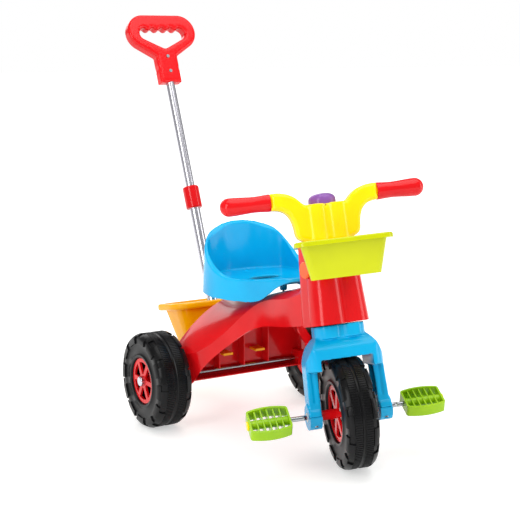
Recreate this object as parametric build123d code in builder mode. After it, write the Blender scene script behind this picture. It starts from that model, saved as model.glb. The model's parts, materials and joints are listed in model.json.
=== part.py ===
"""Children's pedal tricycle with a rear bucket, a front basket and a parent's push handle.

Millimetres. The tricycle faces -Y and the rider's left is +X; +Z is up and the wheels stand on z = 0.
The origin is on the floor below the middle of the whole length, push handle included.
The front assembly (fork, wheel, handlebar, basket) is drawn upright about the front axle's centre,
and is then leaned back by the rake and turned by the steering angle that it stands at.
"""

import os
from math import asin, atan2, cos, degrees, radians, sin, sqrt, tan

from build123d import *

os.makedirs("parts", exist_ok=True)

# Overall layout
wheelbase = 440.0
rear_axle_y = 50.0
centring = 12.7
rake = 14.6
steering_turn = -19.0
wall = 4.0
running_clearance = 0.05
free_gap = 0.6

# Rear wheels and axle
rear_wheel_radius = 105.0
rear_wheel_width = 79.0
rear_track_outer = 253.0
rear_rim_radius = 50.0
rear_axle_radius = 5.0
rear_hub_tube_radius = 13.0

# Front wheel, crank and pedals
front_wheel_radius = 113.5
front_wheel_width = 64.0
front_tread_flat = 34.0
front_rim_radius = 57.0
crank_radius = 5.0
crank_arm = 60.0
crank_offset = 101.0
crank_bend = 9.0
crank_angle = 5.5
front_hub_tube_radius = 10.0
pedal_centre = 174.0
pedal_width = 82.0
pedal_depth = 66.0
pedal_thickness = 24.0
pedal_rib_count = 5
pedal_tilt_right = 42.5
pedal_tilt_left = 34.5
plug_depth = 8.0

# Tread and hub details
tread_groove = 2.0
lug_depth = 3.5
spoke_count = 6
disc_thickness = 5.0
hub_recess = 6.0
cap_depth = 4.0
cap_radius = 11.0
cap_dome = 3.0

# Fork
fork_leg_inner = 57.0
fork_leg_outer = 80.0
fork_foot_outer = 85.0
fork_leg_depth = 40.0
fork_foot_radius = 26.0
fork_collar_half_width = 50.0
fork_collar_bottom = 150.0
fork_collar_top = 176.0
fork_shoulder_height = 108.0
leg_groove_radius = 4.0
mudguard_front = 48.0
mudguard_back = 42.0
mudguard_gap = 5.5
bush_radius = 9.0
clamp_screw_x = 72.0
clamp_screw_y = 16.0
clamp_screw_depth = 14.0
clamp_screw_radius = 2.0
clamp_head_height = 9.0

# Steering column, rod and handlebar
column_bottom = 177.5
column_top = 340.0
column_bottom_half_width = 64.0
column_top_half_width = 52.0
column_front = 42.0
column_back = 40.0
lobe_groove = 7.0
rod_radius = 8.0
rod_bottom = 124.0
rod_top = 400.0
bush_outer_radius = 18.0
bush_length = 16.0
side_cap_radius = 17.0
side_cap_height = 290.0
side_cap_y = -4.0
side_cap_seat = 60.0
side_cap_height_out = 5.0
console_bottom = 344.0
console_top = 418.0
console_half_width = 41.0
bar_height = 431.0
bar_y = -22.0
bar_radius = 17.0
grip_inner = 110.0
grip_outer = 210.0
grip_radius = 18.5
grip_core_radius = 12.0
grip_end = 10.0
horn_radius = 28.0
horn_height = 22.0
horn_pocket_depth = 9.0
horn_travel = 4.0
horn_y = -8.0
horn_spring_radius = 11.0
bolt_radius = 3.0
bolt_height = 376.0
bolt_head = 8.0

# Front basket
basket_rim_half_width = 103.0
basket_rear_taper = 20.0
basket_front = 160.0
basket_back = 66.0
basket_top = 340.0
basket_bottom = 266.0
basket_lip = 12.0
basket_lip_height = 10.0
basket_draft = 11.0
basket_corner = 12.0
basket_lip_round = 4.0
thin_wall = 2.6
hook_half_width = 30.0
hook_wall = 4.0
hook_bottom = 300.0
console_hold = 34.0

# Body moulding
neck_half_width = 53.0
wing_half_width = 165.0
rear_wall_y = 62.0
beam_bottom = 92.0
channel_front = 30.0
bearing_block = 19.0
beam_height = 34.0
tab_thickness = 5.0
tongue_length = 112.0
gusset_height = 44.0
tab_height = 143.0
tab_x = 42.0
tab_width = 24.0
tongue_half_width = 46.0
tongue_thickness = 8.0

# Seat
seat_back_y = 66.0
seat_nose_y = -240.0
seat_half_width = 112.0
seat_nose_half_width = 34.0
seat_skirt_bottom = 296.0
seat_pan = 334.0
seat_back_top = 455.0
seat_wall = 6.0
seat_flare = 8.0
seat_slot_y = -62.0
seat_slot_half_width = 38.0
seat_slot_half_length = 17.0
seat_post_radius = 8.0
seat_screw_radius = 2.5
seat_screw_places = [(-140, 314), (20, 274)]

# Push handle
handle_lean = 22.8
handle_foot_y = 127.5
handle_foot_z = 101.0
lower_tube_radius = 13.0
lower_tube_length = 402.0
upper_tube_radius = 11.0
upper_tube_start = 340.0
upper_tube_end = 752.0
tube_wall = 1.5
sleeve_bottom = 374.0
sleeve_top = 428.0
sleeve_radius = 19.5
socket_length = 62.0
grip_neck_bottom = 694.0
grip_top = 870.0
dgrip_half_width = 91.0
dgrip_bar = 34.0
dgrip_half_thickness = 15.0
dgrip_neck = 28.0
dgrip_corner = 44.0
dgrip_oval_bottom = 752.0
dgrip_waist_radius = 22.0
dgrip_window_corner = 15.0
finger_radius = 9.0
finger_rise = 6.0
finger_places = (-36, -12, 12, 36)
dgrip_window_half = 61.0
dgrip_window_bottom = 783.0
dgrip_round = 7.0
dgrip_screw_radius = 2.0
dgrip_screw_depth = 12.0
dgrip_screw_heights = (722, 760)

# Rear bucket
bucket_front_y = 152.0
bucket_rim_z = 243.5
bucket_depth = 132.0
bucket_half_width = 112.0
bucket_height = 128.0
bucket_tilt = 11.0
bucket_lip = 14.0
bucket_lip_height = 15.0
bucket_lip_round = 5.0
bucket_draft = 28.0
bucket_corner = 40.0

# The front wheel leans with the turn, so its axle stands where the leaning tread meets the floor.
front_axle_y = rear_axle_y - wheelbase
camber = asin(sin(radians(rake)) * sin(radians(abs(steering_turn))))
front_axle_z = front_wheel_radius * cos(camber) + front_tread_flat / 2 * sin(camber)

column_plane = Plane(
    origin=(0, front_axle_y, front_axle_z),
    x_dir=(1, 0, 0),
    z_dir=(0, sin(radians(rake)), cos(radians(rake))),
)
front_location = column_plane.location * Location((0, 0, 0), (0, 0, steering_turn))
handle_axis = (0, sin(radians(handle_lean)), cos(radians(handle_lean)))
tube_plane = Plane(origin=(0, handle_foot_y, handle_foot_z), x_dir=(1, 0, 0), z_dir=handle_axis)
grip_plane = Plane(
    origin=(0, handle_foot_y, handle_foot_z),
    x_dir=(1, 0, 0),
    z_dir=(0, -cos(radians(handle_lean)), sin(radians(handle_lean))),
)


def lobed_outline(half_width, front, back, groove):
    """Closed outline of the column: two rounded lobes in front with a groove between them."""
    corner = back * 0.5
    neck = 3.0
    with BuildLine() as outline:
        Line((half_width, 0), (half_width, back - corner))
        RadiusArc((half_width, back - corner), (half_width - corner, back), -corner)
        Line((half_width - corner, back), (0, back))
        ThreePointArc((half_width, 0), (half_width / 2 + neck, -front), (neck, groove - front))
        Line((neck, groove - front), (0, groove - front))
        mirror(about=Plane.YZ)
    return outline


def lobed_section(plane, half_width, front, back, groove):
    """Sketch of the lobed column section on a plane."""
    with BuildSketch(plane) as section:
        add(lobed_outline(half_width, front, back, groove).line)
        make_face()
    return section.sketch


def roof_section(y, half_width, bottom, edge, shoulder, crown):
    """Cross-section of the body moulding at a place along its length: upright sides, domed roof."""
    with BuildSketch(Plane.XZ.offset(-y)) as section:
        with BuildLine():
            Spline(
                (-half_width, edge),
                (-0.62 * half_width, shoulder),
                (0, crown),
                (0.62 * half_width, shoulder),
                (half_width, edge),
            )
            Line((half_width, edge), (half_width, bottom))
            Line((half_width, bottom), (-half_width, bottom))
            Line((-half_width, bottom), (-half_width, edge))
        make_face()
    return section.sketch


def side_cap_plane(side, out):
    """Plane of a round cap on the side of the column; side is +1 for the rider's left."""
    centre = column_plane.from_local_coords((0, side_cap_y, side_cap_height))
    return Plane(origin=(side * (side_cap_seat + out), centre.Y, centre.Z), x_dir=(0, 1, 0), z_dir=(side, 0, 0))


def rounded_section(plane, half_width, near, far, corner):
    """Rounded rectangle on a plane, from its near edge to its far edge."""
    with BuildSketch(plane) as section:
        with Locations((0, (near + far) / 2)):
            RectangleRounded(2 * half_width, abs(far - near), corner)
    return section.sketch


def disc_section(plane, radius, place=(0, 0)):
    """Round section on a plane."""
    with BuildSketch(plane) as section:
        with Locations(place):
            Circle(radius)
    return section.sketch


def tyre_solid(radius, width, rim_radius):
    """Hard plastic tyre about the X axis: rounded shoulders, a groove round the middle, side lugs."""
    half = width / 2
    shoulder = radius * 0.11
    with BuildPart() as tyre:
        with BuildSketch(Plane.XY) as profile:
            with BuildLine():
                Polyline(
                    (-half * 0.8, rim_radius),
                    (-half, rim_radius + 5),
                    (-half, radius - shoulder - lug_depth),
                    (-half + shoulder, radius - lug_depth / 2),
                    (-tread_groove, radius),
                    (0, radius - tread_groove),
                    (tread_groove, radius),
                    (half - shoulder, radius - lug_depth / 2),
                    (half, radius - shoulder - lug_depth),
                    (half, rim_radius + 5),
                    (half * 0.8, rim_radius),
                    close=True,
                )
            make_face()
        revolve(axis=Axis.X)
    return tyre.part


def spoked_disc(plane, radius, boss_radius, bore_radius, thickness):
    """Wheel disc with a boss and spokes, standing up from a plane."""
    rim = radius * 0.16
    with BuildSketch(plane) as face:
        Circle(radius)
        Circle(radius - rim, mode=Mode.SUBTRACT)
        Circle(boss_radius)
        with PolarLocations(0, spoke_count):
            with Locations((radius / 2, 0)):
                Rectangle(radius - rim / 2, radius * 0.2)
        Circle(bore_radius, mode=Mode.SUBTRACT)
    with BuildPart() as disc:
        extrude(to_extrude=face.sketch, amount=thickness)
    return disc.part


# ---------------------------------------------------------------- body moulding
# Place along the length, half width, bottom, roof edge, roof shoulder, roof crown.
body_stations = [
    (front_axle_y + 52, neck_half_width, 284, 346, 364, 371),
    (-270, neck_half_width, 270, 334, 349, 354),
    (-190, neck_half_width, 254, 312, 325, 329),
    (-115, neck_half_width + 6, 234, 284, 301, 308),
    (-50, neck_half_width + 55, 170, 208, 262, 288),
    (0, wing_half_width - 3, beam_bottom, 166, 232, 276),
    (rear_wall_y, wing_half_width, beam_bottom, 160, 226, 270),
]
hollow_stations = [
    (y - wall * (y == rear_wall_y), w - wall, bottom - 40, edge - wall, shoulder - wall, crown - wall)
    for y, w, bottom, edge, shoulder, crown in body_stations
]
rib_places = (-64, 0, 64)
rib_tops = (246, 268, 246)
column_sections = [
    lobed_section(column_plane.offset(column_bottom), column_bottom_half_width,
                  column_front + 4, column_back + 4, lobe_groove),
    lobed_section(column_plane.offset(column_top), column_top_half_width,
                  column_front - 2, column_back, lobe_groove),
]
column_hollow = [
    lobed_section(column_plane.offset(column_bottom - 1), column_bottom_half_width - wall,
                  column_front, column_back, lobe_groove),
    lobed_section(column_plane.offset(column_top - wall), column_top_half_width - wall,
                  column_front - 6, column_back - wall, lobe_groove),
]
with BuildSketch(Plane.XZ.offset(200)) as arch:
    with BuildLine():
        Spline(
            (-148, beam_bottom - 40), (-142, 128), (-104, 178), (-52, 222), (0, 236),
            (52, 222), (104, 178), (142, 128), (148, beam_bottom - 40),
        )
        Line((148, beam_bottom - 40), (-148, beam_bottom - 40))
    make_face()

with BuildPart() as body:
    loft(sections=[roof_section(*station) for station in body_stations])
    with Locations((0, -200, 200)):
        Box(2 * wing_half_width, 800, 600, mode=Mode.INTERSECT)
    loft(sections=[roof_section(*station) for station in hollow_stations], mode=Mode.SUBTRACT)
    # The front of the wings is cut away in an arch that shows the beam inside.
    extrude(to_extrude=arch.sketch, amount=-(200 + rear_wall_y - wall), mode=Mode.SUBTRACT)
    # Steering column, raked back with the fork.
    loft(sections=column_sections)
    loft(sections=column_hollow, mode=Mode.SUBTRACT)
    # Tube that the two steering bushes sit in.
    extrude(to_extrude=disc_section(column_plane.offset(column_bottom), bush_outer_radius + wall),
            amount=column_top - column_bottom)
    extrude(to_extrude=disc_section(column_plane.offset(column_bottom - 1), bush_outer_radius),
            amount=column_top - column_bottom + 2, mode=Mode.SUBTRACT)
    # Flat bosses on both sides of the column for the round caps.
    for side in (-1, 1):
        extrude(to_extrude=disc_section(side_cap_plane(side, 0), side_cap_radius - 3), amount=-8)
    # Rear beam: bearing blocks at its ends, and a lip in front that makes a channel for the axle.
    for side in (-1, 1):
        with Locations((side * (wing_half_width - bearing_block / 2), (channel_front + rear_wall_y) / 2,
                        beam_bottom + beam_height / 2)):
            Box(bearing_block, rear_wall_y - channel_front, beam_height)
    with Locations((0, (channel_front + rear_wall_y) / 2, beam_bottom + thin_wall / 2)):
        Box(2 * wing_half_width - bearing_block, rear_wall_y - channel_front, thin_wall)
    for x, top in zip(rib_places, rib_tops):
        foot = rear_wheel_radius + rear_axle_radius + 2
        with Locations((x, (channel_front + rear_wall_y) / 2, (foot + top) / 2)):
            Box(thin_wall, rear_wall_y - channel_front, top - foot)
    for side in (-1, 1):
        with Locations((side * tab_x, rear_wall_y - wall / 2, tab_height)):
            Box(tab_width + free_gap, 3 * wall, tab_thickness + free_gap, mode=Mode.SUBTRACT)
    # Tongue behind the beam with the leaning socket of the push handle.
    with Locations((0, rear_wall_y + tongue_length / 2 - wall, beam_bottom + tongue_thickness / 2)):
        Box(2 * tongue_half_width, tongue_length, tongue_thickness)
    with Locations((0, rear_wall_y + (handle_foot_y - rear_wall_y) / 2, beam_bottom + gusset_height / 2)):
        Box(2 * wall, handle_foot_y - rear_wall_y, gusset_height)
    extrude(to_extrude=disc_section(tube_plane.offset(-wall), lower_tube_radius + wall),
            amount=socket_length + wall)
    extrude(to_extrude=disc_section(tube_plane, lower_tube_radius), amount=socket_length + wall,
            mode=Mode.SUBTRACT)
    # Bore of the fixed rear axle, and the clearance holes of the seat screws.
    with BuildSketch(Plane.YZ.offset(-wing_half_width)):
        with Locations((rear_axle_y, rear_wheel_radius)):
            Circle(rear_axle_radius)
    extrude(amount=2 * wing_half_width, mode=Mode.SUBTRACT)
    for y, z in seat_screw_places:
        with Locations((0, y, z)):
            Cylinder(seat_screw_radius, 4 * wall, mode=Mode.SUBTRACT)

# ---------------------------------------------------------------- steering bushes, caps and rod
with BuildPart() as lower_bush:
    extrude(to_extrude=disc_section(column_plane.offset(column_bottom), bush_outer_radius), amount=bush_length)
    extrude(to_extrude=disc_section(column_plane.offset(column_bottom), rod_radius + running_clearance),
            amount=bush_length, mode=Mode.SUBTRACT)

with BuildPart() as upper_bush:
    extrude(to_extrude=disc_section(column_plane.offset(column_top - bush_length), bush_outer_radius),
            amount=bush_length)
    extrude(to_extrude=disc_section(column_plane.offset(column_top - bush_length),
                                    rod_radius + running_clearance),
            amount=bush_length, mode=Mode.SUBTRACT)

side_caps = {}
for name, side in (("side_cap_right", -1), ("side_cap_left", 1)):
    with BuildPart() as side_cap:
        extrude(to_extrude=disc_section(side_cap_plane(side, 0), side_cap_radius), amount=side_cap_height_out)
        chamfer(side_cap.faces().sort_by(Axis.X)[-1 if side > 0 else 0].edges(), 2)
    side_caps[name] = side_cap.part

# ---------------------------------------------------------------- seat
def seat_plan(height, grow):
    """Plan outline of the seat at a height, grown outwards by a wall or a flare."""
    width = seat_half_width + grow
    back = seat_back_y + grow
    nose = seat_nose_y - grow
    nose_width = seat_nose_half_width + grow
    right_side = [
        (nose_width, nose + 18),
        (0.62 * width, seat_back_y - 225),
        (0.92 * width, seat_back_y - 145),
        (width, seat_back_y - 85),
        (0.90 * width, seat_back_y - 38),
        (0.64 * width, back - 17),
        (0.32 * width, back - 4),
    ]
    left_side = [(-x, y) for x, y in reversed(right_side)]
    with BuildSketch(Plane.XY.offset(height)) as plan:
        with BuildLine():
            Spline((0, nose), *right_side, (0, back), *left_side, periodic=True)
        make_face()
    return plan.sketch


def seat_side(points, limit):
    """Side region of the seat between a curve along its length and a level far above or below."""
    with BuildSketch(Plane.YZ) as region:
        with BuildLine():
            Spline(*points)
            Polyline(points[-1], (points[-1][0], limit), (points[0][0], limit), points[0])
        make_face()
    return region.sketch


rim_line = [
    (seat_nose_y - 20, 366),
    (seat_nose_y + 40, 357),
    (seat_nose_y + 110, 347),
    (seat_back_y - 120, 350),
    (seat_back_y - 60, 385),
    (seat_back_y - 18, 432),
    (seat_back_y + 20, seat_back_top),
]
pan_line = [
    (seat_nose_y - 20, 362),
    (seat_nose_y + 40, 349),
    (seat_nose_y + 110, 337),
    (seat_back_y - 120, seat_pan),
    (seat_back_y + 20, seat_pan - 6),
]
under_line = [(y, z - seat_wall) for y, z in pan_line]
skirt_line = [
    (seat_nose_y - 20, 354),
    (seat_nose_y + 40, 337),
    (seat_nose_y + 78, 306),
    (seat_nose_y + 130, seat_skirt_bottom + 1),
    (seat_back_y - 60, seat_skirt_bottom),
    (seat_back_y + 20, seat_skirt_bottom + 4),
]
low = seat_skirt_bottom - 10
high = seat_back_top + 20
arch_half = seat_half_width + 2 * seat_flare
with BuildSketch(Plane.XZ.offset(-2 * seat_back_y)) as back_arch:
    with BuildLine():
        Spline(
            (-arch_half, seat_pan - 10), (-seat_half_width + 2, 386), (-0.74 * seat_half_width, 426),
            (-0.4 * seat_half_width, 445), (0, seat_back_top), (0.4 * seat_half_width, 445),
            (0.74 * seat_half_width, 426), (seat_half_width - 2, 386), (arch_half, seat_pan - 10),
        )
        Polyline((arch_half, seat_pan - 10), (arch_half, low - 60), (-arch_half, low - 60),
                 (-arch_half, seat_pan - 10))
    make_face()

with BuildPart() as seat_bowl:
    loft(sections=[seat_plan(low, seat_flare / 2 - 2 * seat_wall), seat_plan(high, -seat_flare / 2 - seat_wall)])
    extrude(to_extrude=seat_side(pan_line, high + 40), amount=300, both=True, mode=Mode.INTERSECT)

with BuildPart() as seat_underside:
    loft(sections=[seat_plan(low, seat_flare - thin_wall), seat_plan(high, -seat_flare / 2 - thin_wall)])
    extrude(to_extrude=seat_side(under_line, low - 40), amount=300, both=True, mode=Mode.INTERSECT)

with BuildPart() as seat:
    loft(sections=[seat_plan(low, seat_flare), seat_plan(high, -seat_flare / 2)])
    extrude(to_extrude=seat_side(rim_line, low - 60), amount=300, both=True, mode=Mode.INTERSECT)
    extrude(to_extrude=back_arch.sketch, amount=3 * seat_back_y - seat_nose_y, mode=Mode.INTERSECT)
    extrude(to_extrude=seat_side(skirt_line, high + 60), amount=300, both=True, mode=Mode.INTERSECT)
    add(seat_bowl.part, mode=Mode.SUBTRACT)
    add(seat_underside.part, mode=Mode.SUBTRACT)
    # Screw posts under the pan.
    for y, z in seat_screw_places:
        with Locations((0, y, (z + wall + seat_pan) / 2)):
            Cylinder(seat_post_radius, seat_pan - z - wall)
            Cylinder(seat_screw_radius, seat_pan - z - wall, mode=Mode.SUBTRACT)
    with BuildSketch(Plane.XY.offset(seat_pan - 4 * seat_wall)):
        with Locations((0, seat_slot_y)):
            Ellipse(seat_slot_half_width, seat_slot_half_length)
    extrude(amount=6 * seat_wall, mode=Mode.SUBTRACT)

with BuildPart() as seat_screws:
    for y, z in seat_screw_places:
        with Locations((0, y, z + 3)):
            Cylinder(seat_screw_radius, 28)
        with Locations((0, y, z - 13)):
            Cylinder(2 * seat_screw_radius, 4)

# ---------------------------------------------------------------- rear bucket
bucket_plane = Plane(
    origin=(0, bucket_front_y, bucket_rim_z),
    x_dir=(1, 0, 0),
    z_dir=(0, sin(radians(bucket_tilt)), cos(radians(bucket_tilt))),
)
bucket_top_half = bucket_half_width - bucket_lip
bucket_bottom_half = bucket_top_half - bucket_draft
bucket_top_far = bucket_depth - bucket_lip
bucket_bottom_far = bucket_top_far - bucket_draft
bucket_bottom_near = bucket_lip + thin_wall
bottom_corner = bucket_corner - bucket_lip

with BuildPart() as bucket_rim:
    extrude(to_extrude=rounded_section(bucket_plane, bucket_half_width, 0, bucket_depth, bucket_corner),
            amount=-bucket_lip_height)
    fillet(bucket_rim.faces().sort_by(Axis.Z)[-1].edges(), bucket_lip_round)

with BuildPart() as rear_bucket:
    loft(sections=[
        rounded_section(bucket_plane, bucket_top_half, bucket_lip, bucket_top_far, bottom_corner),
        rounded_section(bucket_plane.offset(-bucket_height), bucket_bottom_half, bucket_bottom_near,
                        bucket_bottom_far, bottom_corner),
    ])
    add(bucket_rim.part)
    # Shelf that reaches forward to the beam, with the two tabs that pass through its slots.
    shelf_back = bucket_front_y
    with Locations((0, (rear_wall_y + free_gap + shelf_back) / 2, tab_height)):
        Box(2 * (tab_x + tab_width / 2), shelf_back - rear_wall_y - free_gap, tab_thickness)
    for side in (-1, 1):
        with Locations((side * tab_x, (channel_front + rear_wall_y + wall) / 2, tab_height)):
            Box(tab_width, rear_wall_y - channel_front + wall, tab_thickness)
    loft(sections=[
        rounded_section(bucket_plane, bucket_top_half - thin_wall, bucket_lip + thin_wall,
                        bucket_top_far - thin_wall, bottom_corner - thin_wall),
        rounded_section(bucket_plane.offset(thin_wall - bucket_height), bucket_bottom_half - thin_wall,
                        bucket_bottom_near + thin_wall, bucket_bottom_far - thin_wall,
                        bottom_corner - thin_wall),
    ], mode=Mode.SUBTRACT)
    # The push handle's tube passes through the shelf and the front wall.
    extrude(to_extrude=disc_section(tube_plane, lower_tube_radius + free_gap),
            amount=lower_tube_length, mode=Mode.SUBTRACT)
    extrude(to_extrude=disc_section(tube_plane, lower_tube_radius + wall + free_gap),
            amount=socket_length + free_gap, mode=Mode.SUBTRACT)

# ---------------------------------------------------------------- rear axle and wheels
axle_end = rear_track_outer - cap_depth
hub_inner_face = rear_track_outer - rear_wheel_width + hub_recess


def rod_along_x(radius, near, far, place, bore=0.0):
    """Round rod, or a tube when it has a bore, along X at a place across it."""
    with BuildPart() as rod:
        extrude(to_extrude=disc_section(Plane.YZ.offset(near), radius, place), amount=far - near)
        if bore > 0:
            extrude(to_extrude=disc_section(Plane.YZ.offset(near), bore, place), amount=far - near,
                    mode=Mode.SUBTRACT)
    return rod.part


def mirrored(part, side):
    """The part itself for the rider's left, its mirror image for the right."""
    return part if side > 0 else part.mirror(Plane.YZ)


rear_place = (rear_axle_y, rear_wheel_radius)
rear_axle = rod_along_x(rear_axle_radius, -axle_end, axle_end, rear_place)
rear_pieces = {}
for name, side in (("right", -1), ("left", 1)):
    wheel_middle = rear_track_outer - rear_wheel_width / 2
    tyre = tyre_solid(rear_wheel_radius, rear_wheel_width, rear_rim_radius)
    tyre = Location((wheel_middle, rear_axle_y, rear_wheel_radius)) * tyre
    disc_plane = Plane(origin=(rear_track_outer - hub_recess, rear_axle_y, rear_wheel_radius),
                       x_dir=(0, 1, 0), z_dir=(-1, 0, 0))
    bore = rear_axle_radius + running_clearance
    outer_disc = spoked_disc(disc_plane, rear_rim_radius, rear_hub_tube_radius + 3, bore, disc_thickness)
    tube = rod_along_x(rear_hub_tube_radius, hub_inner_face, rear_track_outer - hub_recess, rear_place, bore)
    inner_disc = rod_along_x(rear_rim_radius, hub_inner_face, hub_inner_face + disc_thickness, rear_place,
                             rear_hub_tube_radius)
    spacer = rod_along_x(rear_axle_radius + 4, wing_half_width, hub_inner_face - free_gap, rear_place,
                         rear_axle_radius)
    with BuildPart() as axle_cap:
        add(rod_along_x(cap_radius, rear_track_outer - hub_recess + free_gap, rear_track_outer + cap_dome,
                        rear_place))
        fillet(axle_cap.faces().sort_by(Axis.X)[-1].edges(), cap_dome)
        add(rear_axle, mode=Mode.SUBTRACT)
    rear_pieces[f"rear_tyre_{name}"] = mirrored(tyre, side)
    rear_pieces[f"rear_hub_{name}"] = mirrored(outer_disc + tube, side)
    rear_pieces[f"rear_hub_back_{name}"] = mirrored(inner_disc, side)
    rear_pieces[f"axle_spacer_{name}"] = mirrored(spacer, side)
    rear_pieces[f"axle_cap_{name}"] = mirrored(axle_cap.part, side)

# ---------------------------------------------------------------- push handle
def tube_stretch(outer, inner, start, end):
    """Stretch of round tube on the push handle's axis."""
    with BuildPart() as stretch:
        extrude(to_extrude=disc_section(tube_plane.offset(start), outer), amount=end - start)
        extrude(to_extrude=disc_section(tube_plane.offset(start), inner), amount=end - start,
                mode=Mode.SUBTRACT)
    return stretch.part


guide_radius = upper_tube_radius + running_clearance
lower_tube = tube_stretch(lower_tube_radius, guide_radius, 0, lower_tube_length)
upper_tube = tube_stretch(upper_tube_radius, upper_tube_radius - tube_wall, upper_tube_start, upper_tube_end)

with BuildPart() as joint_sleeve:
    extrude(to_extrude=disc_section(tube_plane.offset(sleeve_bottom), sleeve_radius),
            amount=sleeve_top - sleeve_bottom)
    chamfer(joint_sleeve.edges().filter_by(GeomType.CIRCLE), 2)
    extrude(to_extrude=disc_section(tube_plane.offset(sleeve_bottom), lower_tube_radius),
            amount=lower_tube_length - sleeve_bottom, mode=Mode.SUBTRACT)
    extrude(to_extrude=disc_section(tube_plane.offset(sleeve_bottom), guide_radius),
            amount=sleeve_top - sleeve_bottom, mode=Mode.SUBTRACT)

with BuildSketch(grip_plane) as dgrip_outline:
    with Locations((dgrip_half_width - dgrip_corner, grip_top - dgrip_corner),
                   (dgrip_corner - dgrip_half_width, grip_top - dgrip_corner)):
        Circle(dgrip_corner)
    with Locations((0, dgrip_oval_bottom + dgrip_corner)):
        Circle(dgrip_corner)
    make_hull()
    with Locations((0, (grip_neck_bottom + dgrip_oval_bottom) / 2 + 10)):
        Rectangle(2 * dgrip_neck, dgrip_oval_bottom - grip_neck_bottom + 20)
    with Locations((dgrip_neck + dgrip_waist_radius - 1, grip_neck_bottom + dgrip_waist_radius + 14),
                   (1 - dgrip_neck - dgrip_waist_radius, grip_neck_bottom + dgrip_waist_radius + 14)):
        Circle(dgrip_waist_radius, mode=Mode.SUBTRACT)
with BuildSketch(grip_plane) as dgrip_window:
    with Locations((dgrip_window_half - dgrip_window_corner, grip_top - dgrip_bar - dgrip_window_corner),
                   (dgrip_window_corner - dgrip_window_half, grip_top - dgrip_bar - dgrip_window_corner),
                   (0, dgrip_window_bottom + dgrip_window_corner)):
        Circle(dgrip_window_corner)
    make_hull()
    # Finger rests under the bar.
    with Locations(*[(x, grip_top - dgrip_bar + finger_radius - finger_rise) for x in finger_places]):
        Circle(finger_radius, mode=Mode.SUBTRACT)

grip_halves = {}
for name, side in (("dgrip_front", 1), ("dgrip_back", -1)):
    with BuildPart() as dgrip:
        extrude(to_extrude=dgrip_outline.sketch, amount=side * dgrip_half_thickness)
        extrude(to_extrude=dgrip_window.sketch, amount=side * dgrip_half_thickness, mode=Mode.SUBTRACT)
        outer_face = dgrip.faces().sort_by(Axis(grip_plane.origin, grip_plane.z_dir))[-1 if side > 0 else 0]
        fillet(outer_face.edges(), dgrip_round)
        extrude(to_extrude=disc_section(tube_plane.offset(grip_neck_bottom), upper_tube_radius),
                amount=upper_tube_end - grip_neck_bottom, mode=Mode.SUBTRACT)
        for height in dgrip_screw_heights:
            extrude(to_extrude=disc_section(grip_plane.offset(-dgrip_screw_depth), dgrip_screw_radius,
                                            (0, height)),
                    amount=dgrip_screw_depth + dgrip_half_thickness, mode=Mode.SUBTRACT)
    grip_halves[name] = dgrip.part

with BuildPart() as dgrip_screws:
    for height in dgrip_screw_heights:
        extrude(to_extrude=disc_section(grip_plane.offset(-dgrip_screw_depth), dgrip_screw_radius,
                                        (0, height)),
                amount=dgrip_screw_depth + dgrip_half_thickness)
        extrude(to_extrude=disc_section(grip_plane.offset(dgrip_half_thickness), 2 * dgrip_screw_radius,
                                        (0, height)),
                amount=2)

# The lower of the two screws passes through the tube.
with BuildPart() as drilled_tube:
    add(upper_tube)
    for height in dgrip_screw_heights:
        extrude(to_extrude=disc_section(grip_plane, dgrip_screw_radius, (0, height)),
                amount=2 * upper_tube_radius, both=True, mode=Mode.SUBTRACT)

# ---------------------------------------------------------------- fork (drawn about the front axle)
wheel_room = front_wheel_radius + mudguard_gap
shoulder_turn = (fork_collar_half_width + 16, fork_collar_bottom - 16)
with BuildSketch(Plane.XZ) as leg_outline:
    with BuildLine():
        Line((fork_leg_inner, fork_shoulder_height - 20), (fork_leg_inner + 2, -fork_foot_radius / 2))
        Line((fork_leg_inner + 2, -fork_foot_radius / 2), (fork_leg_outer + 3, -fork_foot_radius / 2))
        Line((fork_leg_outer + 3, -fork_foot_radius / 2), (fork_leg_outer - 1, fork_shoulder_height))
        Line((fork_leg_outer - 1, fork_shoulder_height), (fork_leg_inner, fork_shoulder_height - 20))
    make_face()
    mirror(about=Plane.YZ)
with BuildSketch(Plane.XZ) as crown_outline:
    with BuildLine():
        Line((0, fork_collar_bottom + 6), (fork_collar_half_width, fork_collar_bottom + 6))
        ThreePointArc((fork_collar_half_width, fork_collar_bottom + 6), shoulder_turn,
                      (fork_leg_outer - 1, fork_shoulder_height))
        Line((fork_leg_outer - 1, fork_shoulder_height), (fork_leg_outer - 3, fork_shoulder_height - 20))
        Line((fork_leg_outer - 3, fork_shoulder_height - 20), (0, fork_shoulder_height - 20))
        mirror(about=Plane.YZ)
    make_face()
with BuildSketch(Plane.XY.offset(fork_shoulder_height - 30)) as crown_plan:
    with Locations((0, (mudguard_back - mudguard_front) / 2)):
        RectangleRounded(2 * fork_leg_outer, mudguard_front + mudguard_back, mudguard_back - 8)

crown_top = fork_collar_bottom + 6
crown_foot = fork_shoulder_height - 20
with BuildSketch(Plane.YZ) as crown_side:
    with BuildLine():
        Spline(
            (-mudguard_front, crown_foot), (-mudguard_front, fork_shoulder_height),
            (-0.82 * mudguard_front, crown_top - 18), (-0.45 * mudguard_front, crown_top - 4),
            (0, crown_top), (0.45 * mudguard_back, crown_top - 4), (0.82 * mudguard_back, crown_top - 18),
            (mudguard_back, fork_shoulder_height), (mudguard_back, crown_foot),
        )
        Line((mudguard_back, crown_foot), (-mudguard_front, crown_foot))
    make_face()

with BuildPart() as fork_crown:
    extrude(to_extrude=crown_outline.sketch, amount=mudguard_front, both=True)
    extrude(to_extrude=crown_side.sketch, amount=fork_leg_outer, both=True, mode=Mode.INTERSECT)
    extrude(to_extrude=crown_plan.sketch, amount=fork_collar_bottom, mode=Mode.INTERSECT)

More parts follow.
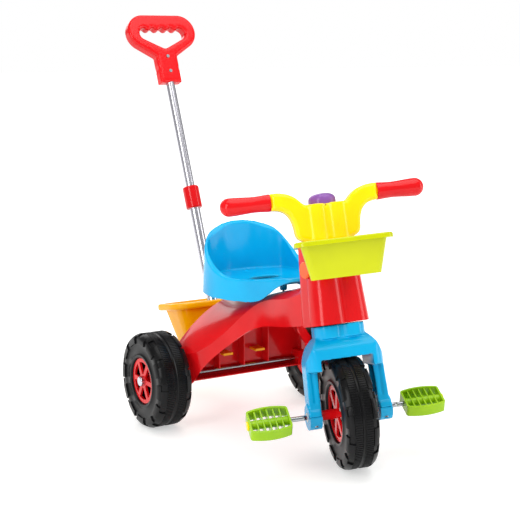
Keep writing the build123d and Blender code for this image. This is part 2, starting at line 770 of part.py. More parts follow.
with BuildPart() as fork:
    add(fork_crown.part)
    extrude(to_extrude=leg_outline.sketch, amount=fork_leg_depth / 2, both=True)
    extrude(to_extrude=lobed_section(Plane.XY.offset(fork_collar_bottom), fork_collar_half_width,
                                     column_front - 4, column_back - 4, lobe_groove),
            amount=fork_collar_top - fork_collar_bottom)
    for side in (-1, 1):
        with BuildSketch(Plane.YZ.offset(side * (fork_leg_inner + 3))):
            Circle(fork_foot_radius)
        extrude(amount=side * (fork_foot_outer - fork_leg_inner - 3))
        # Open channel up the inside of the leg.
        with Locations((side * (fork_leg_inner + fork_leg_outer - wall) / 2, 0,
                        (fork_foot_radius + fork_shoulder_height) / 2)):
            Box(fork_leg_outer - fork_leg_inner - wall, fork_leg_depth - 2 * wall,
                fork_shoulder_height - fork_foot_radius, mode=Mode.SUBTRACT)
        # Groove down the front of the leg.
        with Locations((side * (fork_leg_inner + fork_leg_outer) / 2, -fork_leg_depth / 2 - leg_groove_radius / 2,
                        (fork_foot_radius + fork_shoulder_height) / 2)):
            Cylinder(leg_groove_radius, fork_shoulder_height - fork_foot_radius, mode=Mode.SUBTRACT)
    # Room for the wheel under the mudguard, and the bores of the crank bushes and of the rod.
    with BuildSketch(Plane.YZ.offset(wall - fork_leg_inner)):
        Circle(wheel_room)
    extrude(amount=2 * (fork_leg_inner - wall), mode=Mode.SUBTRACT)
    with BuildSketch(Plane.YZ.offset(-fork_foot_outer)):
        Circle(bush_radius)
    extrude(amount=2 * fork_foot_outer, mode=Mode.SUBTRACT)
    with Locations((0, 0, -fork_foot_radius)):
        Box(3 * fork_foot_outer, 3 * fork_foot_radius, 2 * fork_foot_radius, mode=Mode.SUBTRACT)
    extrude(to_extrude=disc_section(Plane.XY.offset(rod_bottom), rod_radius),
            amount=fork_collar_top - rod_bottom, mode=Mode.SUBTRACT)
    with Locations(*[(side * clamp_screw_x, y, clamp_screw_depth / 2) for side in (-1, 1)
                     for y in (-clamp_screw_y, clamp_screw_y)]):
        Cylinder(clamp_screw_radius, clamp_screw_depth, mode=Mode.SUBTRACT)

front_pieces = {"fork": fork.part}
for name, side in (("right", -1), ("left", 1)):
    near = side * (fork_leg_inner + 3)
    far = side * fork_foot_outer
    with BuildPart() as foot_clamp:
        with BuildSketch(Plane.YZ.offset(near)):
            Circle(fork_foot_radius)
            with Locations((0, fork_foot_radius)):
                Rectangle(3 * fork_foot_radius, 2 * fork_foot_radius, mode=Mode.SUBTRACT)
            Circle(bush_radius, mode=Mode.SUBTRACT)
        extrude(amount=far - near)
        with Locations(*[(side * clamp_screw_x, y, -fork_foot_radius) for y in (-clamp_screw_y, clamp_screw_y)]):
            Cylinder(clamp_screw_radius, 2 * fork_foot_radius, mode=Mode.SUBTRACT)
            Cylinder(2 * clamp_screw_radius, 2 * clamp_head_height, mode=Mode.SUBTRACT)
    front_pieces[f"foot_clamp_{name}"] = foot_clamp.part
    front_pieces[f"crank_bush_{name}"] = mirrored(
        rod_along_x(bush_radius, fork_leg_inner + 3, fork_foot_outer + 1, (0, 0),
                    crank_radius + running_clearance), side)
    with BuildPart() as clamp_screws:
        for y in (-clamp_screw_y, clamp_screw_y):
            with Locations((side * clamp_screw_x, y, clamp_screw_depth)):
                Cylinder(clamp_screw_radius, clamp_screw_depth + fork_foot_radius - clamp_head_height,
                         align=(Align.CENTER, Align.CENTER, Align.MAX))
            with Locations((side * clamp_screw_x, y, clamp_head_height - fork_foot_radius)):
                Cylinder(2 * clamp_screw_radius, 3, align=(Align.CENTER, Align.CENTER, Align.MAX))
    front_pieces[f"clamp_screws_{name}"] = clamp_screws.part

with BuildPart() as steering_rod:
    extrude(to_extrude=disc_section(Plane.XY.offset(rod_bottom), rod_radius), amount=rod_top - rod_bottom)
front_pieces["steering_rod"] = steering_rod.part

# ---------------------------------------------------------------- handlebar
with BuildSketch(Plane.XZ.offset(-bar_y)) as wing_outline:
    with BuildLine():
        Line((0, console_top - 2), (console_half_width - 7, console_top - 2))
        Spline(
            (console_half_width - 7, console_top - 2),
            (console_half_width + 16, bar_height + 2),
            (grip_inner - 30, bar_height + bar_radius - 3),
            (grip_inner, bar_height + bar_radius),
            tangents=((1, 0.2), (1, 0)),
        )
        Line((grip_inner, bar_height + bar_radius), (grip_inner, bar_height - bar_radius))
        Spline(
            (grip_inner, bar_height - bar_radius),
            (grip_inner - 34, bar_height - bar_radius - 14),
            (console_half_width + 26, console_bottom + 26),
            (console_half_width, console_bottom),
            tangents=((-1, 0), (-1, -0.2)),
        )
        Line((console_half_width, console_bottom), (0, console_bottom))
        mirror(about=Plane.YZ)
    make_face()

with BuildPart() as handlebar:
    extrude(to_extrude=wing_outline.sketch, amount=bar_radius, both=True)
    chamfer(handlebar.faces().sort_by(Axis.Y)[0].edges() + handlebar.faces().sort_by(Axis.Y)[-1].edges(), 6)
    extrude(to_extrude=lobed_section(Plane.XY.offset(console_bottom), console_half_width, column_front + 3,
                                     column_back - 6, lobe_groove),
            amount=console_top - console_bottom)
    for side in (-1, 1):
        with BuildSketch(Plane.YZ.offset(side * (grip_inner - 4))):
            with Locations((bar_y, bar_height)):
                Circle(grip_core_radius)
        extrude(amount=side * (grip_outer - grip_end - grip_inner + 4))
    extrude(to_extrude=disc_section(Plane.XY.offset(console_bottom), rod_radius),
            amount=rod_top - console_bottom, mode=Mode.SUBTRACT)
    extrude(to_extrude=disc_section(Plane.XY.offset(console_top - horn_pocket_depth),
                                    horn_radius + free_gap, (0, horn_y)),
            amount=horn_pocket_depth, mode=Mode.SUBTRACT)
    # Cross bolt that holds the handlebar on the rod.
    extrude(to_extrude=disc_section(Plane.YZ.offset(-console_half_width), bolt_radius, (0, bolt_height)),
            amount=2 * console_half_width, mode=Mode.SUBTRACT)
    extrude(to_extrude=disc_section(Plane.YZ.offset(console_half_width - bolt_head), 2 * bolt_radius,
                                    (0, bolt_height)), amount=2 * bolt_head, mode=Mode.SUBTRACT)
    extrude(to_extrude=disc_section(Plane.YZ.offset(bolt_head - console_half_width), 2 * bolt_radius,
                                    (0, bolt_height)), amount=-2 * bolt_head, mode=Mode.SUBTRACT)
front_pieces["handlebar"] = handlebar.part
front_pieces["steering_rod"] = steering_rod.part - rod_along_x(
    bolt_radius, -rod_radius, rod_radius, (0, bolt_height))
bolt_place = (0, bolt_height)
front_pieces["stem_bolt"] = rod_along_x(
    bolt_radius, bolt_head - console_half_width, console_half_width - bolt_head / 2, bolt_place
) + rod_along_x(2 * bolt_radius, console_half_width - bolt_head, console_half_width - 1, bolt_place)
front_pieces["stem_nut"] = rod_along_x(
    2 * bolt_radius, 2 - console_half_width, bolt_head - console_half_width, bolt_place)

for name, side in (("right", -1), ("left", 1)):
    with BuildPart() as grip:
        with BuildSketch(Plane.XY):
            with BuildLine():
                Polyline(
                    (grip_outer - grip_end, 0),
                    (grip_outer - grip_end, grip_core_radius),
                    (grip_inner, grip_core_radius),
                    (grip_inner, grip_radius - 1),
                    (grip_inner + 6, grip_radius - 1),
                )
                Spline(
                    (grip_inner + 6, grip_radius - 1),
                    (grip_inner + 30, grip_radius - 2.5),
                    (grip_outer - grip_radius, grip_radius),
                    tangents=((1, -0.1), (1, 0)),
                )
                ThreePointArc(
                    (grip_outer - grip_radius, grip_radius),
                    (grip_outer - grip_radius * (1 - sqrt(0.5)), grip_radius * sqrt(0.5)),
                    (grip_outer, 0),
                )
                Line((grip_outer, 0), (grip_outer - grip_end, 0))
            make_face()
        revolve(axis=Axis.X)
    placed = Location((0, bar_y, bar_height)) * grip.part
    front_pieces[f"grip_{name}"] = mirrored(placed, side)

# ---------------------------------------------------------------- horn button and spring
horn_bottom = console_top - horn_pocket_depth + horn_travel + free_gap
horn_top = console_top + horn_height
with BuildPart() as horn_button:
    with BuildSketch(Plane.XZ):
        with BuildLine():
            Polyline((horn_radius - thin_wall, horn_bottom), (horn_radius, horn_bottom),
                     (horn_radius, console_top + 6))
            Spline((horn_radius, console_top + 6), (0, horn_top), tangents=((0, 1), (-1, 0)))
            Line((0, horn_top), (0, horn_top - thin_wall))
            Spline((0, horn_top - thin_wall), (horn_radius - thin_wall, console_top + 6),
                   tangents=((1, 0), (0, -1)))
            Line((horn_radius - thin_wall, console_top + 6), (horn_radius - thin_wall, horn_bottom))
        make_face()
    revolve(axis=Axis.Z)
horn_part = Location((0, horn_y, 0)) * horn_button.part
with BuildPart() as horn_spring:
    extrude(to_extrude=disc_section(Plane.XY.offset(console_top - horn_pocket_depth), horn_spring_radius,
                                    (0, horn_y)),
            amount=horn_top - thin_wall - horn_travel - free_gap - console_top + horn_pocket_depth - 1)
    extrude(to_extrude=disc_section(Plane.XY.offset(console_top - horn_pocket_depth),
                                    horn_spring_radius - 2, (0, horn_y)),
            amount=2 * horn_height, mode=Mode.SUBTRACT)
front_pieces["horn_button"] = horn_part
front_pieces["horn_spring"] = horn_spring.part

# ---------------------------------------------------------------- front basket
slope = (basket_top - basket_bottom) * tan(radians(basket_draft))


def basket_section(height, inset, corner):
    """Plan section of the basket at a height: wide in front, narrower towards the column."""
    front = basket_rim_half_width - inset
    near = inset - basket_front
    far = -basket_back - inset
    with BuildSketch(Plane.XY.offset(height)) as section:
        Polygon((-front, near), (front, near), (front - basket_rear_taper, far),
                (basket_rear_taper - front, far), align=None)
        fillet(section.vertices(), corner)
    return section.sketch


with BuildPart() as basket_rim:
    extrude(to_extrude=basket_section(basket_top, 0, basket_corner + basket_lip), amount=-basket_lip_height)
    fillet(basket_rim.faces().sort_by(Axis.Z)[-1].edges(), basket_lip_round)

with BuildPart() as front_basket:
    loft(sections=[
        basket_section(basket_top, basket_lip, basket_corner),
        basket_section(basket_bottom, basket_lip + slope, basket_corner),
    ])
    add(basket_rim.part)
    loft(sections=[
        basket_section(basket_top, basket_lip + thin_wall, basket_corner - thin_wall),
        basket_section(basket_bottom + thin_wall, basket_lip + slope + thin_wall, basket_corner - thin_wall),
    ], mode=Mode.SUBTRACT)
front_pieces["front_basket"] = front_basket.part

hook_top = console_bottom - hook_wall
with BuildPart() as basket_hook:
    with Locations((0, -(basket_back + console_hold) / 2, console_bottom - hook_wall / 2)):
        Box(2 * hook_half_width, basket_back - console_hold, hook_wall)
    with Locations((0, -basket_back + hook_wall / 2, (console_bottom + hook_bottom) / 2)):
        Box(2 * hook_half_width, hook_wall, console_bottom - hook_bottom)
    with Locations((0, -basket_back - basket_lip / 2 + hook_wall / 2,
                    basket_top - basket_lip_height - hook_wall / 2)):
        Box(2 * hook_half_width, basket_lip - hook_wall, hook_wall)
front_pieces["basket_hook"] = basket_hook.part

# ---------------------------------------------------------------- front wheel and crank
disc_inner = front_wheel_width / 2 - hub_recess - disc_thickness
wheel_pieces = {"front_tyre": tyre_solid(front_wheel_radius, front_wheel_width, front_rim_radius)}
for name, side in (("right", -1), ("left", 1)):
    disc_plane = Plane(origin=(disc_inner, 0, 0), x_dir=(0, 1, 0), z_dir=(1, 0, 0))
    disc = spoked_disc(disc_plane, front_rim_radius, front_hub_tube_radius + 5, crank_radius, disc_thickness)
    tube = rod_along_x(front_hub_tube_radius, disc_inner, fork_leg_inner - free_gap, (0, 0), crank_radius)
    wheel_pieces[f"front_hub_{name}"] = mirrored(disc + tube, side)
wheel_pieces["front_hub_core"] = rod_along_x(front_hub_tube_radius + 5, -disc_inner, disc_inner, (0, 0),
                                             crank_radius)

crank_plane = Plane(origin=(0, 0, 0), x_dir=(1, 0, 0),
                    z_dir=(0, sin(radians(crank_angle)), cos(radians(crank_angle))))
spindle_end = pedal_centre + pedal_width / 2 - plug_depth
with BuildPart() as crank:
    with BuildLine(crank_plane) as crank_path:
        FilletPolyline(
            (-spindle_end, -crank_arm),
            (-crank_offset, -crank_arm),
            (-crank_offset, 0),
            (crank_offset, 0),
            (crank_offset, crank_arm),
            (spindle_end, crank_arm),
            radius=crank_bend,
        )
    with BuildSketch(Plane(origin=crank_path.line @ 0, z_dir=crank_path.line % 0)):
        Circle(crank_radius)
    sweep()
wheel_pieces["crank"] = crank.part

# ---------------------------------------------------------------- pedals
def pedal_piece():
    """Pedal for the rider's left, about its spindle: an open barrel-shaped grid round a tube."""
    half = pedal_width / 2
    with BuildSketch(Plane.XY) as plan:
        with BuildLine():
            ThreePointArc((half, -pedal_depth * 0.4), (0, -pedal_depth / 2), (-half, -pedal_depth * 0.4))
            Line((-half, -pedal_depth * 0.4), (-half, pedal_depth * 0.4))
            ThreePointArc((-half, pedal_depth * 0.4), (0, pedal_depth / 2), (half, pedal_depth * 0.4))
            Line((half, pedal_depth * 0.4), (half, -pedal_depth * 0.4))
        make_face()
        fillet(plan.vertices(), 6)
    with BuildSketch(Plane.XY) as inside:
        add(plan.sketch)
        offset(amount=-wall, mode=Mode.REPLACE)
    with BuildPart() as pedal:
        extrude(to_extrude=plan.sketch, amount=pedal_thickness / 2, both=True)
        extrude(to_extrude=inside.sketch, amount=pedal_thickness / 2, both=True, mode=Mode.SUBTRACT)
        pitch = (pedal_width - 2 * wall) / (pedal_rib_count + 1)
        for index in range(pedal_rib_count):
            with Locations((-half + wall + pitch * (index + 1), 0, 0)):
                Box(thin_wall, pedal_depth - 2 * wall, pedal_thickness - 4)
        add(rod_along_x(crank_radius + wall, -half, half, (0, 0)))
        add(rod_along_x(crank_radius + running_clearance, -half, half, (0, 0)), mode=Mode.SUBTRACT)
        add(rod_along_x(crank_radius + wall - 1.5, half - plug_depth + 2, half, (0, 0)), mode=Mode.SUBTRACT)
    return pedal.part


pedal_groups = {}
for name, side, tilt in (("right", -1, pedal_tilt_right), ("left", 1, pedal_tilt_left)):
    spindle = crank_plane.from_local_coords((0, side * crank_arm, 0))
    place = Location((side * pedal_centre, spindle.Y, spindle.Z), (tilt, 0, 0))
    plug = rod_along_x(crank_radius + wall - 1.5, pedal_width / 2 - plug_depth + 3, pedal_width / 2, (0, 0))
    plug = plug + rod_along_x(crank_radius + wall, pedal_width / 2, pedal_width / 2 + 3, (0, 0))
    pedal_groups[f"pedal_{name}"] = place * mirrored(pedal_piece(), side)
    pedal_groups[f"pedal_plug_{name}"] = place * mirrored(plug, side)

# ---------------------------------------------------------------- writing the parts
still_pieces = {
    "body": body.part,
    "steering_bush_lower": lower_bush.part,
    "steering_bush_upper": upper_bush.part,
    **side_caps,
    "seat": seat.part,
    "seat_screws": seat_screws.part,
    "rear_bucket": rear_bucket.part,
    "rear_axle": rear_axle,
    **rear_pieces,
    "lower_tube": lower_tube,
    "joint_sleeve": joint_sleeve.part,
    "upper_tube": drilled_tube.part,
    **grip_halves,
    "dgrip_screws": dgrip_screws.part,
}
turned_pieces = {**front_pieces, **wheel_pieces, **pedal_groups}

centred = Location((0, centring, 0))
for name, piece in still_pieces.items():
    placed = piece.moved(centred)
    placed.label = name
    export_step(placed, f"parts/{name}.step")
for name, piece in turned_pieces.items():
    placed = piece.moved(centred * front_location)
    placed.label = name
    export_step(placed, f"parts/{name}.step")
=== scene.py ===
"""Children's pedal tricycle: the looks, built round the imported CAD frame. Metres, facing -Y, +Z up."""

import json
import math

import bmesh
import bpy
from mathutils import Matrix, Vector


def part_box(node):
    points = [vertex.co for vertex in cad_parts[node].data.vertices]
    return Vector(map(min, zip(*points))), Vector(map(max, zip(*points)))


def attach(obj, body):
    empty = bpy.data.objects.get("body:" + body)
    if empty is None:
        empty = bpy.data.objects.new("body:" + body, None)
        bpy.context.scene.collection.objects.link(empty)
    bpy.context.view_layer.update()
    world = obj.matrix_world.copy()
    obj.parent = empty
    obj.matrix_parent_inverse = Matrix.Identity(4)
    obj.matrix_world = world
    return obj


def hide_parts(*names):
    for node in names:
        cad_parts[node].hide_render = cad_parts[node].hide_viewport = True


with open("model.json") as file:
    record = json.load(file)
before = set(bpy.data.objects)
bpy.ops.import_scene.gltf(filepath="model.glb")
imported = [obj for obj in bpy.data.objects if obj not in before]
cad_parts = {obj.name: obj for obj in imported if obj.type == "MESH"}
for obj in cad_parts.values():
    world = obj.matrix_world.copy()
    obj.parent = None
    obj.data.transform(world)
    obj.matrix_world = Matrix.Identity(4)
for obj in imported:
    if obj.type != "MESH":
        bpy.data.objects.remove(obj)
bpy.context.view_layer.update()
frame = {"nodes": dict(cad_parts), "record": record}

# ---- Camera, floor and light -----------------------------------------------------------------
# A plain pale sweep with soft boxes: one tall box at the rider's right, a wide one overhead
# and a dim one at the other side, as for a toy on a studio table.
look_from = Vector((-1.3189, -2.2765, 0.8400))
look_at = Vector((-0.1212, -0.2345, 0.4112))
camera_data = bpy.data.cameras.new("camera")
camera_data.lens = 83.07
camera_data.sensor_width = 36.0
camera = bpy.data.objects.new("camera", camera_data)
camera.location = look_from
camera.rotation_euler = (look_at - look_from).to_track_quat("-Z", "Y").to_euler()
bpy.context.scene.collection.objects.link(camera)
bpy.context.scene.camera = camera


def add_node(tree, kind, settings=None, links=None):
    """Adds a shader node, sets its values or sockets, and links its inputs from other sockets."""
    node = tree.nodes.new(kind)
    for key, value in (settings or {}).items():
        if hasattr(node, key):
            setattr(node, key, value)
        else:
            node.inputs[key].default_value = value
    for key, source in (links or {}).items():
        tree.links.new(source, node.inputs[key])
    return node


def colour(code):
    """Scene-linear colour, opaque, from an sRGB hex code."""
    parts = [int(code[i:i + 2], 16) / 255 for i in (1, 3, 5)]
    linear = [v / 12.92 if v <= 0.04045 else ((v + 0.055) / 1.055) ** 2.4 for v in parts]
    return (*linear, 1.0)


def soft_box(name, place, target, width, height, power):
    """Rectangular white area light that faces a target."""
    data = bpy.data.lights.new(name, "AREA")
    data.shape = "RECTANGLE"
    data.size = width
    data.size_y = height
    data.energy = power
    light = bpy.data.objects.new(name, data)
    light.location = place
    light.rotation_euler = (Vector(target) - Vector(place)).to_track_quat("-Z", "Y").to_euler()
    bpy.context.scene.collection.objects.link(light)


middle = (0, -0.1, 0.35)
soft_box("tall_box", (-2.4, -1.2, 1.5), middle, 0.8, 2.0, 31)
soft_box("overhead_box", (0.2, -0.4, 2.6), middle, 2.2, 2.2, 35)
soft_box("side_box", (2.3, -1.6, 1.2), middle, 0.9, 1.8, 16)
soft_box("back_box", (0.4, 2.4, 1.6), middle, 2.0, 1.4, 16)

# The room itself is dimmer than the paper looks, so that the gloss keeps its contrast.
world = bpy.data.worlds.new("studio")
world.use_nodes = True
room = world.node_tree
ray = add_node(room, "ShaderNodeLightPath")
unseen_glow = add_node(room, "ShaderNodeMapRange", {"To Min": 0.70, "To Max": 0.38},
                        {"Value": ray.outputs["Is Glossy Ray"]})
glow = add_node(room, "ShaderNodeMix", {"data_type": "FLOAT", "B": 1.0},
                {"A": unseen_glow.outputs["Result"], "Factor": ray.outputs["Is Camera Ray"]})
room.nodes["Background"].inputs["Color"].default_value = colour("#FFFFFF")
room.links.new(glow.outputs["Result"], room.nodes["Background"].inputs["Strength"])
bpy.context.scene.world = world
bpy.context.scene.view_settings.view_transform = "Standard"

floor_mesh = bpy.data.meshes.new("floor")
floor_shape = bmesh.new()
bmesh.ops.create_grid(floor_shape, x_segments=1, y_segments=1, size=30.0)
floor_shape.to_mesh(floor_mesh)
floor_shape.free()
floor = bpy.data.objects.new("floor", floor_mesh)
bpy.context.scene.collection.objects.link(floor)
paper = bpy.data.materials.new("pale_paper_sweep")
paper.use_nodes = True
paper_shader = paper.node_tree.nodes["Principled BSDF"]
paper_shader.inputs["Base Color"].default_value = colour("#D2D2D0")
paper_shader.inputs["Roughness"].default_value = 0.45
paper_shader.inputs["Emission Color"].default_value = colour("#FFFFFF")
paper_place = add_node(paper.node_tree, "ShaderNodeTexCoord")
paper_reach = add_node(paper.node_tree, "ShaderNodeVectorMath", {"operation": "LENGTH"},
                       {"Vector": paper_place.outputs["Object"]})
paper_glow = add_node(paper.node_tree, "ShaderNodeMapRange",
                      {"From Min": 0.5, "From Max": 3.0, "To Min": 0.50, "To Max": 1.0},
                      {"Value": paper_reach.outputs["Value"]})
paper.node_tree.links.new(paper_glow.outputs["Result"], paper_shader.inputs["Emission Strength"])
floor.data.materials.append(paper)


# ---- Body ------------------------------------------------------------------------------------
# The red frame, neck, wings and steering column are one hollow blow moulding in polypropylene,
# coloured through. Its skin is glossy, with a faint ripple and a slightly uneven depth of colour
# where the wall thickens.
def moulded_plastic(name, code, deep_code, roughness=0.15, ripple=0.00004, ripple_scale=120.0,
                    sheen=0.32):
    """Glossy coloured plastic with flow marks in its colour and a fine ripple in its skin."""
    material = bpy.data.materials.new(name)
    material.use_nodes = True
    tree = material.node_tree
    shader = tree.nodes["Principled BSDF"]
    place = add_node(tree, "ShaderNodeTexCoord")
    flow = add_node(tree, "ShaderNodeTexNoise", {"Scale": 9.0, "Detail": 3.0, "Roughness": 0.5},
                    {"Vector": place.outputs["Object"]})
    tone = add_node(tree, "ShaderNodeValToRGB", {}, {"Fac": flow.outputs["Fac"]})
    tone.color_ramp.elements[0].position = 0.35
    tone.color_ramp.elements[0].color = colour(deep_code)
    tone.color_ramp.elements[1].position = 0.62
    tone.color_ramp.elements[1].color = colour(code)
    skin = add_node(tree, "ShaderNodeTexNoise", {"Scale": ripple_scale, "Detail": 2.0},
                    {"Vector": place.outputs["Object"]})
    polish = add_node(tree, "ShaderNodeMapRange", {"To Min": roughness - 0.05, "To Max": roughness + 0.07},
                      {"Value": flow.outputs["Fac"]})
    bump = add_node(tree, "ShaderNodeBump", {"Strength": 0.35, "Distance": ripple},
                    {"Height": skin.outputs["Fac"]})
    tree.links.new(tone.outputs["Color"], shader.inputs["Base Color"])
    tree.links.new(polish.outputs["Result"], shader.inputs["Roughness"])
    tree.links.new(bump.outputs["Normal"], shader.inputs["Normal"])
    shader.inputs["IOR"].default_value = 1.46
    shader.inputs["Specular IOR Level"].default_value = sheen
    return material


def dress(finish, *nodes):
    """Gives plain solids their finish."""
    for node in nodes:
        materials = frame["nodes"][node].data.materials
        materials.clear()
        materials.append(finish)


red_plastic = moulded_plastic("moulded_plastic_red", "#DC1016", "#CC0B12")
dress(red_plastic, "body")


# ---- Side caps and steering bushes -----------------------------------------------------------
# Orange discs that snap into the sides of the column, and pale turned bushes pressed into its
# two ends, where the steering rod runs.
orange_plastic = moulded_plastic("moulded_plastic_orange", "#F0642C", "#E35620")
dress(orange_plastic, "side_cap_left", "side_cap_right")
white_plastic = moulded_plastic("moulded_bearing_plastic_white", "#E6E6E2", "#DADAD5", 0.4)
dress(white_plastic, "steering_bush_lower", "steering_bush_upper")


# ---- Seat ------------------------------------------------------------------------------------
# Blue bucket seat with a high back and rims that run out in generous rounds, blow moulded and
# held by two screws. Its skin is shaped from the plain solid below it, closed up and smoothed
# like a part drawn from its mould.
def moulded_skin(name, nodes, grain, rounds, finish, body, keep=1.0):
    """One smooth closed skin round plain solids; grain is its mesh size and rounds how soft it is."""
    shape = bmesh.new()
    for node in nodes:
        shape.from_mesh(frame["nodes"][node].data)
    bmesh.ops.remove_doubles(shape, verts=shape.verts, dist=0.00001)
    rough = bpy.data.meshes.new(name + "_rough")
    shape.to_mesh(rough)
    shape.free()
    former = bpy.data.objects.new(name + "_former", rough)
    bpy.context.scene.collection.objects.link(former)
    close_up = former.modifiers.new("close_up", "REMESH")
    close_up.mode = "VOXEL"
    close_up.voxel_size = grain
    soften = former.modifiers.new("soften", "SMOOTH")
    soften.factor = 0.5
    soften.iterations = rounds
    if keep < 1.0:
        thin_out = former.modifiers.new("thin_out", "DECIMATE")
        thin_out.ratio = keep
    evaluated = former.evaluated_get(bpy.context.evaluated_depsgraph_get())
    mesh = bpy.data.meshes.new_from_object(evaluated)
    bpy.data.objects.remove(former)
    mesh.materials.clear()
    mesh.materials.append(finish)
    mesh.shade_smooth()
    skin = bpy.data.objects.new(name, mesh)
    bpy.context.scene.collection.objects.link(skin)
    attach(skin, body)
    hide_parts(*nodes)
    return skin


def plated_steel(name, code, dark_code, roughness, grain_scale):
    """Plated steel with fine drawing marks and faint clouding in its polish."""
    material = bpy.data.materials.new(name)
    material.use_nodes = True
    tree = material.node_tree
    shader = tree.nodes["Principled BSDF"]
    place = add_node(tree, "ShaderNodeTexCoord")
    stretch = add_node(tree, "ShaderNodeMapping", {"Scale": (6.0, 6.0, 1.0)},
                       {"Vector": place.outputs["Object"]})
    grain = add_node(tree, "ShaderNodeTexNoise", {"Scale": grain_scale, "Detail": 4.0},
                     {"Vector": stretch.outputs["Vector"]})
    cloud = add_node(tree, "ShaderNodeTexNoise", {"Scale": 25.0, "Detail": 2.0},
                     {"Vector": place.outputs["Object"]})
    tone = add_node(tree, "ShaderNodeValToRGB", {}, {"Fac": cloud.outputs["Fac"]})
    tone.color_ramp.elements[0].color = colour(dark_code)
    tone.color_ramp.elements[1].color = colour(code)
    polish = add_node(tree, "ShaderNodeMapRange",
                      {"To Min": roughness * 0.85, "To Max": roughness * 1.2},
                      {"Value": grain.outputs["Fac"]})
    tree.links.new(tone.outputs["Color"], shader.inputs["Base Color"])
    tree.links.new(polish.outputs["Result"], shader.inputs["Roughness"])
    shader.inputs["Metallic"].default_value = 1.0
    return material


blue_plastic = moulded_plastic("moulded_plastic_blue", "#04ACE0", "#02A0D6")
dress(blue_plastic, "seat")
moulded_skin("seat_skin", ["seat"], 0.0014, 10, blue_plastic, "frame", 0.4)
zinc_steel = plated_steel("zinc_plated_steel", "#B4B7BB", "#989CA1", 0.25, 3.0)
dress(zinc_steel, "seat_screws")


# ---- Rear bucket -----------------------------------------------------------------------------
# Amber toy bucket with a thick turned rim, injection moulded, which stands behind the seat.
amber_plastic = moulded_plastic("moulded_plastic_amber", "#F9B400", "#F1A800", 0.20)
dress(amber_plastic, "rear_bucket")


# ---- Rear axle and hubs ----------------------------------------------------------------------
# A zinc-plated steel bar through the body, with pale spacers, chromed push-on caps and red
# six-spoke hubs in two halves.
chromed_steel = plated_steel("chromed_steel", "#DAD9E0", "#CFCED6", 0.24, 2.0)
dress(zinc_steel, "rear_axle")
dress(white_plastic, "axle_spacer_left", "axle_spacer_right")
dress(chromed_steel, "axle_cap_left", "axle_cap_right")
dress(red_plastic, "rear_hub_left", "rear_hub_right", "rear_hub_back_left", "rear_hub_back_right")


# ---- Tyres -----------------------------------------------------------------------------------
# Hollow, hard blow-moulded tyres snapped over the hubs. Two ladder-ribbed bands run round the
# tread with a smooth groove between them, and blocky lugs stand on both shoulders.
def finished_piece(name, shape, place, finish, body):
    """Mesh object from a bmesh, in its place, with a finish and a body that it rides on."""
    bmesh.ops.transform(shape, matrix=place, verts=shape.verts)
    bmesh.ops.recalc_face_normals(shape, faces=shape.faces)
    mesh = bpy.data.meshes.new(name)
    shape.to_mesh(mesh)
    shape.free()
    mesh.materials.append(finish)
    mesh.shade_smooth()
    piece = bpy.data.objects.new(name, mesh)
    bpy.context.scene.collection.objects.link(piece)
    mesh.set_sharp_from_angle(angle=math.radians(35.0))
    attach(piece, body)
    return piece


def soften_edges(piece, width):
    """Small round on every hard edge, as a mould leaves."""
    soften = piece.modifiers.new("mould_round", "BEVEL")
    soften.width = width
    soften.segments = 1
    soften.limit_method = "ANGLE"
    soften.angle_limit = math.radians(35.0)
    soften.harden_normals = True


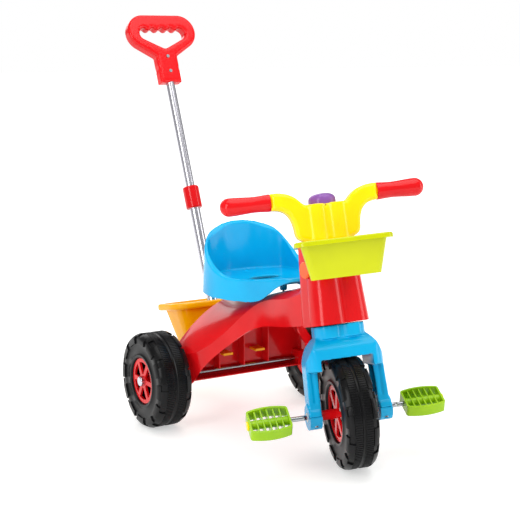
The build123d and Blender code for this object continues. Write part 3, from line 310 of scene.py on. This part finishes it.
def tyre_piece(name, radius, width, rim_radius, place, body):
    """Blow-moulded tyre about the x axis with ladder ribs on its tread and lugs on its shoulders."""
    steps = 288
    lug_steps = 24
    lug_length = 16
    lug_height = 0.0032
    rib_height = 0.0013
    half = width / 2
    ledge = half * 0.60
    groove = half * 0.11
    # Half section from the bead out over the shoulder to the groove: distance across, radius.
    side = [
        (half * 0.78, rim_radius), (half * 0.95, rim_radius + 0.003),
        (half * 0.97, rim_radius + 0.008), (half * 0.90, rim_radius + 0.012),
        (half * 0.90, radius - 0.027), (half * 0.935, radius - 0.022),
        (half * 0.935, radius - 0.0125), (half * 0.87, radius - 0.0075),
        (half * 0.72, radius - 0.0042), (ledge, radius - 0.0028),
        (ledge - 0.0006, radius - rib_height), (groove + 0.001, radius - rib_height),
        (groove, radius - 0.0016), (groove * 0.55, radius - 0.0034),
    ]
    profile = [(-x, r) for x, r in side] + [(x, r) for x, r in reversed(side)]
    shape = bmesh.new()
    points = [shape.verts.new((x, 0, r)) for x, r in profile]
    lines = [shape.edges.new(pair) for pair in zip(points, points[1:] + points[:1])]
    bmesh.ops.spin(shape, geom=points + lines, axis=(1, 0, 0), cent=(0, 0, 0), dvec=(0, 0, 0),
                   angle=2 * math.pi, steps=steps, use_merge=True, use_normal_flip=False,
                   use_duplicate=False)
    lug_faces = []
    rib_faces = []
    for face in shape.faces:
        centre = face.calc_center_median()
        reach = math.hypot(centre.y, centre.z)
        step = int((math.atan2(centre.z, centre.y) / (2 * math.pi)) % 1.0 * steps)
        # Lower halves of the lugs are shifted round, and the two shoulders are out of step.
        shift = int(6 * (reach < radius - 0.010)) + lug_steps // 2 * (centre.x > 0)
        turned = (step + shift) % lug_steps
        if reach > radius - 0.0225 and abs(centre.x) > ledge and turned < lug_length:
            lug_faces.append(face)
        elif groove < abs(centre.x) < ledge - 0.0005 and step % 2 == 0:
            rib_faces.append(face)
    for faces, height, pull in ((lug_faces, lug_height, 0.6), (rib_faces, rib_height, 0.0)):
        raised = bmesh.ops.extrude_face_region(shape, geom=faces)["geom"]
        bmesh.ops.delete(shape, geom=faces, context="FACES")
        for vert in (item for item in raised if isinstance(item, bmesh.types.BMVert)):
            outward = Vector((pull * math.copysign(1, vert.co.x), vert.co.y, vert.co.z))
            if pull:
                edge_out = max(0.0, min(1.0, (abs(vert.co.x) - ledge) / (half * 0.33)))
                low = max(0.0, min(1.0, (radius - 0.004 - math.hypot(vert.co.y, vert.co.z)) / 0.012))
                outward = Vector((0, vert.co.y, vert.co.z)).normalized() * (1 - low)
                outward += Vector((math.copysign(edge_out, vert.co.x), 0, 0))
            vert.co += outward.normalized() * height
    tyre = finished_piece(name, shape, place, tyre_plastic, body)
    soften_edges(tyre, 0.0005)
    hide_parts(name.replace("tread_", ""))


tyre_plastic = moulded_plastic("blow_moulded_tyre_black", "#0E0E10", "#0A0A0B", 0.30, 0.00010, 300.0,
                               0.22)
dress(tyre_plastic, "front_tyre", "rear_tyre_left", "rear_tyre_right")

# Fork, front wheel, handlebar and basket share one leaning, turned frame about the front axle:
# x along the axle to the rider's left, z up the steering axis.
joint = {entry["name"]: entry for entry in frame["record"]["behaviour"]["joints"]}
steering_axis = Vector(joint["steering"]["axis"]).normalized()
axle_axis = Vector(joint["front_wheel_spin"]["axis"]).normalized()
back_axis = steering_axis.cross(axle_axis)
front_place = Matrix((axle_axis, back_axis, steering_axis)).transposed().to_4x4()
front_place.translation = Vector(joint["front_wheel_spin"]["pos_m"])

tyre_piece("tread_front_tyre", 0.1135, 0.064, 0.057, front_place, "front_wheel")
for side in ("left", "right"):
    rear_place = Matrix.Translation(sum(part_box(f"rear_tyre_{side}"), Vector()) / 2)
    tyre_piece(f"tread_rear_tyre_{side}", 0.105, 0.079, 0.050, rear_place, f"rear_wheel_{side}")


# ---- Push handle -----------------------------------------------------------------------------
# Two chromed steel tubes that slide in each other, with a red clamping sleeve where they meet.
# A red D-shaped grip, moulded in two halves, is screwed to the upper one.
dress(chromed_steel, "lower_tube", "upper_tube")
dress(red_plastic, "joint_sleeve", "dgrip_front", "dgrip_back")
dress(zinc_steel, "dgrip_screws")
moulded_skin("push_grip_skin", ["dgrip_front", "dgrip_back"], 0.0016, 6, red_plastic,
             "push_handle")


# ---- Fork ------------------------------------------------------------------------------------
# Blue fork with a domed crown and rounded legs, moulded in one. The caps under its feet are
# screwed on from below and hold the crank in its pale bushes.
dress(blue_plastic, "fork", "foot_clamp_left", "foot_clamp_right")
moulded_skin("fork_skin", ["fork"], 0.0016, 10, blue_plastic, "front_fork")
dress(white_plastic, "crank_bush_left", "crank_bush_right")
dress(zinc_steel, "clamp_screws_left", "clamp_screws_right", "steering_rod", "stem_bolt", "stem_nut")


# ---- Handlebar, grips and horn ---------------------------------------------------------------
# Yellow blow-moulded handlebar with two lobes in front, red grips pushed over its ends, and a
# violet domed button on a spring in a pocket on top.
yellow_plastic = moulded_plastic("moulded_plastic_yellow", "#FFDF00", "#FAD200")
dress(yellow_plastic, "handlebar")
moulded_skin("handlebar_skin", ["handlebar"], 0.0018, 14, yellow_plastic, "front_fork")
dress(red_plastic, "grip_left", "grip_right")
purple_plastic = moulded_plastic("moulded_plastic_purple", "#8C5CA6", "#7E4E98")
dress(purple_plastic, "horn_button")
dress(zinc_steel, "horn_spring")


# ---- Front basket ----------------------------------------------------------------------------
# Lime basket with a rounded lip, injection moulded, which hangs on a yellow hook.
lime_plastic = moulded_plastic("moulded_plastic_lime", "#C6CC00", "#BCC200")
dress(lime_plastic, "front_basket")
dress(yellow_plastic, "basket_hook")


# ---- Front hub, crank and pedals -------------------------------------------------------------
# Red spoked hub halves on a pale core, a bent zinc-plated steel crank, and green open pedals with
# yellow plugs in their ends.
dress(red_plastic, "front_hub_left", "front_hub_right")
dress(white_plastic, "front_hub_core")
dress(zinc_steel, "crank")
green_plastic = moulded_plastic("moulded_plastic_green", "#9CC60C", "#88B808", 0.22)
dress(green_plastic, "pedal_left", "pedal_right")
dress(yellow_plastic, "pedal_plug_left", "pedal_plug_right")
